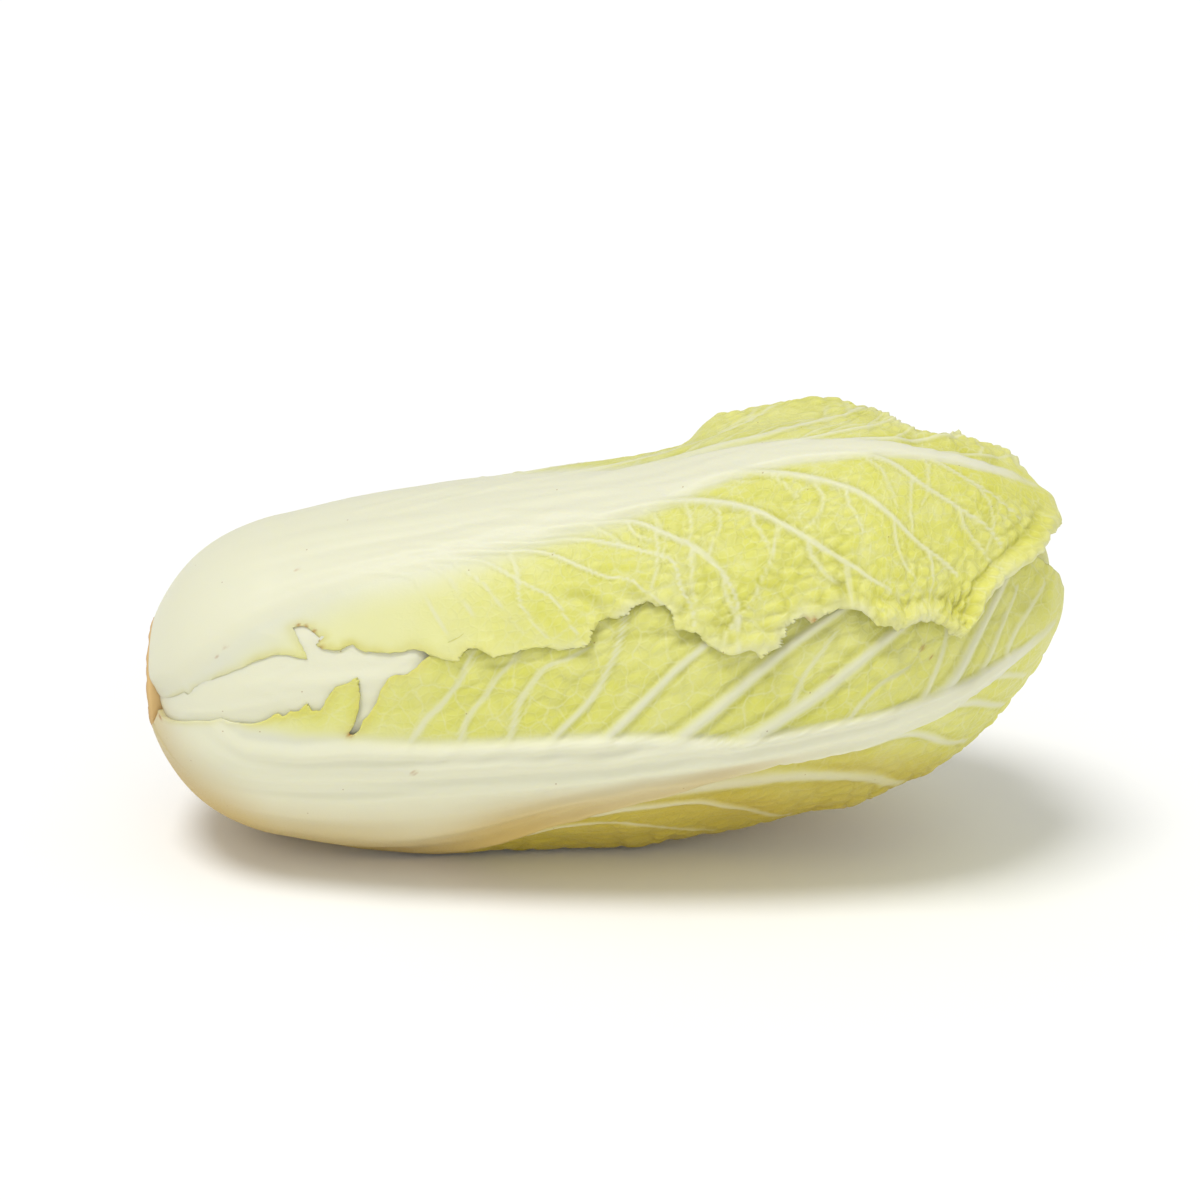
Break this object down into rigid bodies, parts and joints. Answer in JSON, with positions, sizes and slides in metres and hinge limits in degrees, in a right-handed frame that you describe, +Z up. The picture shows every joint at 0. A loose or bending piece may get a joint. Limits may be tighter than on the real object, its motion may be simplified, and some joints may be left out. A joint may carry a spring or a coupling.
{
  "type": "napa cabbage",
  "caption": "Napa cabbage, a whole oblong head of overlapping white-ribbed yellow-green leaves round a heart and a cut stem, lying on its side.",
  "frame": {"origin": "on the resting plane z = 0, under the middle of the head's bounding box", "axes": "+X from the cut stem end to the leaf tips, -Y the side the picture shows, +Z up from the surface the head lies on"},
  "size_m": [0.2934, 0.1326, 0.1416],
  "materials": {
    "outer_leaf": "satin, white in the stalk and midrib, yellow-green between the ribs",
    "inner_leaf": "satin, pale yellow-white",
    "heart_leaf": "satin, yellow",
    "cut_stem": "matt cream, browned at the cut"
  },
  "bodies": {
    "root": {"leaf_outer_upper": "outer_leaf", "leaf_outer_front": "outer_leaf", "leaf_outer_back": "outer_leaf", "leaf_outer_under": "outer_leaf", "leaf_second_front": "outer_leaf", "leaf_second_upper": "outer_leaf", "leaf_second_back": "outer_leaf", "leaf_second_under": "outer_leaf", "leaf_third_front": "inner_leaf", "leaf_third_upper": "inner_leaf", "leaf_third_back": "inner_leaf", "leaf_third_under": "inner_leaf", "heart": "heart_leaf", "stem": "cut_stem"}
  },
  "joints": []
}
